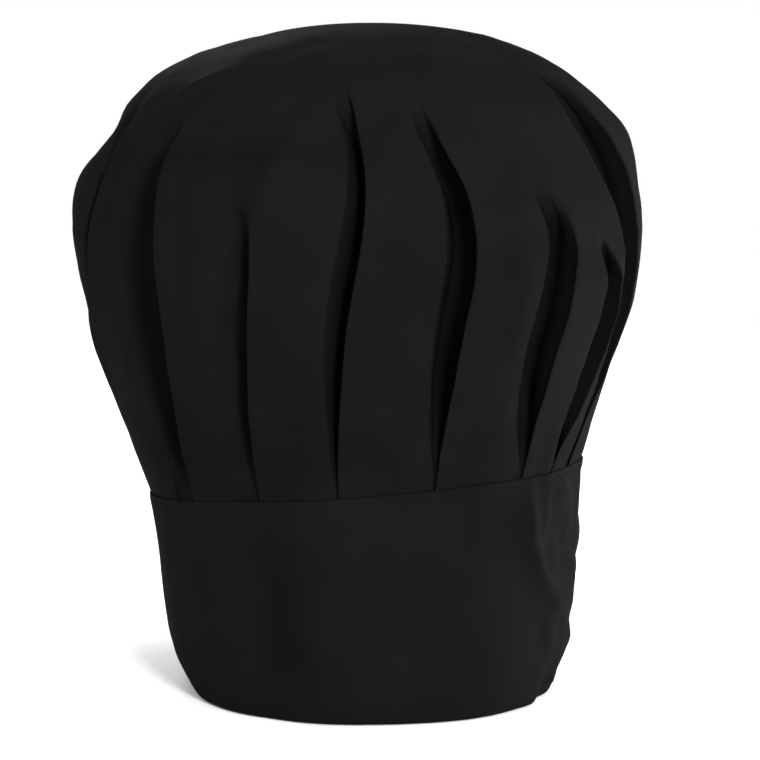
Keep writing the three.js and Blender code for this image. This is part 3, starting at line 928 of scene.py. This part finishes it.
# -------- small tubes: stitches, hooks and loops
def make_tubes(name, centres, outs, radii, sides, material):
    """Many short tubes in one mesh. centres holds each one's points, and radii their radius along it."""
    along = np.gradient(centres, axis=1)
    along /= np.linalg.norm(along, axis=-1, keepdims=True)
    aside = np.cross(along, np.broadcast_to(outs, centres.shape))
    aside /= np.linalg.norm(aside, axis=-1, keepdims=True)
    across = np.cross(aside, along)
    turn = np.arange(sides) * 2 * math.pi / sides
    ring = aside[:, :, None] * np.cos(turn)[:, None] + across[:, :, None] * np.sin(turn)[:, None]
    points = centres[:, :, None] + ring * np.asarray(radii)[:, None, None]
    count, stations = centres.shape[:2]
    faces = []
    for tube in range(count):
        first = tube * stations * sides
        for i in range(stations - 1):
            for j in range(sides):
                a, b = first + i * sides + j, first + i * sides + (j + 1) % sides
                faces.append((b, a, a + sides, b + sides))
        end = first + (stations - 1) * sides
        faces.append(tuple(first + j for j in range(sides)))
        faces.append(tuple(end + sides - 1 - j for j in range(sides)))
    return make_object(name, points.reshape(-1, 3), faces, material)


STITCH_LENGTH, STITCH_PITCH, STITCH_RADIUS = 2.3 * MM, 3.0 * MM, 0.2 * MM
# A stitch at some points along it: how far along, its thickness, and its height over the cloth in radii.
STITCH_SHAPE = np.array(
    [(0, 0.45, -0.3), (0.12, 0.85, 0.2), (0.5, 1, 0.5), (0.88, 0.85, 0.2), (1, 0.45, -0.3)]
)


def stitches_along(points, outs):
    """Centres and outward directions of a row of stitches along a line on the cloth."""
    run = distance_along(points)
    starts = np.arange(0.3 * STITCH_PITCH, run[-1] - STITCH_LENGTH, STITCH_PITCH)
    at = starts[:, None] + STITCH_SHAPE[:, 0] * STITCH_LENGTH
    centre = np.stack([np.interp(at, run, points[:, k]) for k in range(3)], axis=-1)
    out = np.stack([np.interp(at, run, outs[:, k]) for k in range(3)], axis=-1)
    out /= np.linalg.norm(out, axis=-1, keepdims=True)
    return centre + out * (STITCH_SHAPE[:, 2] * STITCH_RADIUS)[:, None], out


def make_stitches(name, lines, thread, nodes=(), body="hat"):
    """Rows of stitches, each along a line given as points and outward directions."""
    rows = [stitches_along(*line) for line in lines]
    centres = np.concatenate([row[0] for row in rows])
    outs = np.concatenate([row[1] for row in rows])
    piece = make_tubes(name, centres, outs, STITCH_SHAPE[:, 1] * STITCH_RADIUS, 6, thread)
    return dress(piece, nodes, body)


def line_on_layer(angles, h, inset=0.0, overlying=False):
    """A line over a layer's outer side, as points and outward directions."""
    angles = np.asarray(angles, float)
    h = np.broadcast_to(np.asarray(h, float), angles.shape)
    dimple = hem_relief(angles, h) if inset == 0 else 0
    return layer_point(angles, h, inset - dimple, overlying), layer_out(angles, h, inset, overlying)


def box_lines(left, right, bottom, top, inset, overlying, inward=False):
    """The four sides of a box of stitching. inward turns it to face into the hat."""
    count = 30
    across = np.linspace(left, right, count)
    up = np.linspace(bottom, top, count)
    sides = [
        (across, np.full(count, bottom)),
        (np.full(count, right), up),
        (across[::-1], np.full(count, top)),
        (np.full(count, left), up[::-1]),
    ]
    lines = []
    for angles, heights in sides:
        points, outs = line_on_layer(angles, heights, inset, overlying)
        lines.append((points, -outs if inward else outs))
    return lines


def make_band_stitches(thread):
    around = np.linspace(TAB_END + 2, BAND_TO, 400)
    make_stitches("seam_stitches", [line_on_layer(around, SEAM_STITCH)], thread, ["seam_topstitch"])
    make_stitches("hem_stitches", [line_on_layer(around, HEM_STITCH)], thread, ["hem_topstitch"])


def make_tab_stitches(thread):
    edge = TAB_TO - 2.0
    along = np.linspace(TAB_FROM, edge, 80)
    edge_lines = [line_on_layer(along, h, overlying=True) for h in (HEM_STITCH, SEAM_STITCH)]
    up = np.linspace(HEM_STITCH, SEAM_STITCH, 60)
    edge_lines.append(line_on_layer(np.full(up.shape, edge), up, overlying=True))
    closure_bend(make_stitches("tab_edge_stitches", edge_lines, thread, body=None))
    side_margin, end_margin = 1.5, 2 * MM  # how far the boxes lie in from the patches' edges
    left, right = PATCH["from"] + side_margin, PATCH["to"] - side_margin
    bottom, top = PATCH["bottom"] + end_margin, PATCH["top"] - end_margin
    lines = box_lines(left, right, bottom, top, inset=0, overlying=True)
    make_stitches("tab_box_stitches", lines, thread, ["tab_box_stitch"], "closure_tab")
    inner_face = FACING_INSET + THICKNESS
    lines = box_lines(left, right, bottom, top, inset=inner_face, overlying=False, inward=True)
    make_stitches("loop_box_stitches", lines, thread, ["loop_box_stitch"])


# -------- hook and loop patches
HOOK_PITCH = 1.6 * MM
HOOK = np.array([(0, 0), (0, 0.3), (0.1, 0.46), (0.28, 0.44), (0.36, 0.3)]) * MM  # (along, up)
LOOP = np.array([(-0.34, -0.05), (-0.27, 0.2), (0, 0.3), (0.27, 0.2), (0.34, -0.05)]) * MM
PATCH_THICKNESS = 0.35 * MM


def tape_pile(name, inset, shape, radius, inward, material):
    """Rows of tiny hooks or loops over a patch, standing outwards, or inwards."""
    edge = 1.5 * MM
    degree = half_width(np.array(PATCH["bottom"])) * math.pi / 180
    angles = np.arange(PATCH["from"] + edge / degree, PATCH["to"] - edge / degree, HOOK_PITCH / degree)
    heights = np.arange(PATCH["bottom"] + edge, PATCH["top"] - edge, HOOK_PITCH)
    h, angle = np.meshgrid(heights, angles, indexing="ij")
    random = np.random.default_rng(21)
    angle = angle + random.uniform(-0.1, 0.1, angle.shape)
    foot = layer_point(angle, h, inset, True).reshape(-1, 3)
    out = layer_out(angle, h, inset, True).reshape(-1, 3) * (-1 if inward else 1)
    lean = random.uniform(-0.5, 0.5, len(foot))
    up = np.array([0, 0, 1.0])
    aside = np.cross(out, up)
    along = aside * np.cos(lean)[:, None] + up * np.sin(lean)[:, None]
    centres = foot[:, None] + along[:, None] * shape[:, :1] + out[:, None] * shape[:, 1:]
    across = np.cross(along, out)
    return make_tubes(name, centres, across[:, None], np.full(len(shape), radius), 4, material)


def make_patch(name, inset, material, node, body):
    """The tape of a patch, on the piece under it."""
    angles = np.linspace(PATCH["from"], PATCH["to"], 30)
    angle, h, depth = wall_grid(angles, PATCH["bottom"], PATCH["top"], inset, rows=24)
    points = layer_point(angle, h, depth, True)
    piece, flat = small_sheet(name, angle, h, points, PATCH_THICKNESS, material)
    dress(piece, [node], body)


def make_patches(materials):
    hook_back, hook_face = HOOK_INSET - 0.15 * MM, HOOK_INSET + 0.15 * MM
    make_patch("hook_tape", hook_back, materials["hook_tape"], "hook_patch", "closure_tab")
    pile = tape_pile("hook_pile", hook_face, HOOK, 0.1 * MM, True, materials["hooks"])
    dress(pile, body="closure_tab")
    loop_face = LOOP_INSET + 0.3 * MM
    make_patch("loop_tape", loop_face, materials["loop_tape"], "loop_patch", "hat")
    pile = tape_pile("loop_pile", loop_face, LOOP, 0.08 * MM, False, materials["loops"])
    dress(pile, body="hat")


# -------- placket, bar tack and label
PLACKET_FROM, PLACKET_TO = 152, 171.5
PLACKET_BOTTOM, PLACKET_TOP = SEAM_HEIGHT + 1.5 * MM, SLIT_TOP + 7 * MM


def placket_inset(h):
    """The placket lies 1.2 mm behind the slit's underlying side."""
    return 1.2 * MM + underlap(np.full(h.shape, float(TAB_ROOT)), h)


def make_placket(material):
    angles = np.linspace(PLACKET_FROM, PLACKET_TO, 24)
    angle, h, depth = wall_grid(angles, PLACKET_BOTTOM, PLACKET_TOP, placket_inset, rows=30)
    wander = 0.3 * MM * waves(hat_surface(angle, h), size=30 * MM, seed=17, octaves=2)
    points = place(half_width(h) - depth + wander * smooth(h, 100 * MM, 110 * MM), h, angle)
    piece, flat = small_sheet("placket", angle, h, points, THICKNESS, material)
    dress(piece, ["back_placket"])


def make_slit_stitches(crown_points, thread):
    """Stitches down both sides of the slit, a little way in from its edges."""
    h = crown_heights()
    rows = np.flatnonzero((h > SEAM_HEIGHT + 3 * MM) & (h < SLIT_TOP - 2 * MM))
    inside, aside = 4 * MM, 1.5
    lines = []
    for edge, inner, angle in ((0, 2, TAB_ROOT + aside), (-1, -3, TAB_ROOT - aside)):
        side = crown_points[rows, inner] - crown_points[rows, edge]
        side /= np.linalg.norm(side, axis=1, keepdims=True)
        out = crown_normal(np.full(rows.shape, angle), h[rows])
        lines.append((crown_points[rows, edge] + side * inside, out))
    make_stitches("slit_stitches", lines, thread)


def make_bar_tack(crown_points, thread):
    """Dense upright stitches across the slit's tip, each slanting the other way from the last."""
    count, half_length, half_height, half_slant = 15, 5.5 * MM, 1.1 * MM, 0.25 * MM
    arch = (0.35 + 0.15 * np.array([-1, 0.6, 1, 0.6, -1])) * MM
    radii = np.array([0.25, 0.36, 0.38, 0.36, 0.25]) * MM
    h = crown_heights()
    centre = crown_points[np.searchsorted(h, SLIT_TOP + 1.5 * MM), 0]
    out = crown_normal(np.array(float(TAB_ROOT)), np.array(SLIT_TOP))
    aside = np.cross([0, 0, 1.0], out)
    aside /= np.linalg.norm(aside)
    up = np.cross(out, aside)
    across = np.linspace(-half_length, half_length, count)
    rise = np.linspace(-half_height, half_height, len(arch))
    slant = half_slant * np.where(np.arange(count) % 2, 1, -1)
    at = across[:, None] + slant[:, None] * np.linspace(-1, 1, len(arch))
    centres = centre + at[..., None] * aside + rise[:, None] * up + arch[:, None] * out
    tack = make_tubes("bar_tack", centres, np.broadcast_to(out, (count, 1, 3)), radii, 6, thread)
    dress(tack, ["slit_bartack"])


LABEL_FROM, LABEL_TO = 222.5, 239
LABEL_BOTTOM, LABEL_TOP = 46 * MM, 84 * MM
LABEL_CLOTH = 0.25 * MM


def make_label(materials):
    """The blank care label inside the band: sewn along its top edge, its foot hanging a little free."""
    angles = np.linspace(LABEL_FROM, LABEL_TO, 22)
    angle, h, _ = wall_grid(angles, LABEL_BOTTOM, LABEL_TOP, 0, rows=26)
    free = 1 - (h - LABEL_BOTTOM) / (LABEL_TOP - LABEL_BOTTOM)
    ripple = 0.15 * np.sin(free * 9 + angle * 0.3) * free
    points = layer_point(angle, h, (2.75 + 1.3 * free**2 + ripple) * MM)
    piece, flat = small_sheet("label", angle, h, points, LABEL_CLOTH, materials["label"])
    dress(piece, ["care_label"])
    stitch_angles = np.linspace(LABEL_FROM + 0.8, LABEL_TO - 0.8, 20)
    points, outs = line_on_layer(stitch_angles, LABEL_TOP - 2 * MM, 3.0 * MM)
    make_stitches("label_stitches", [(points, -outs)], materials["thread"])


def main():
    make_camera()
    make_studio()
    materials = make_materials()
    crown_points = make_crown(materials["twill"])
    make_band(materials)
    make_tab(materials)
    make_band_stitches(materials["thread"])
    make_tab_stitches(materials["thread"])
    make_patches(materials)
    make_placket(materials["twill"])
    make_slit_stitches(crown_points, materials["thread"])
    make_bar_tack(crown_points, materials["thread"])
    make_label(materials)


main()
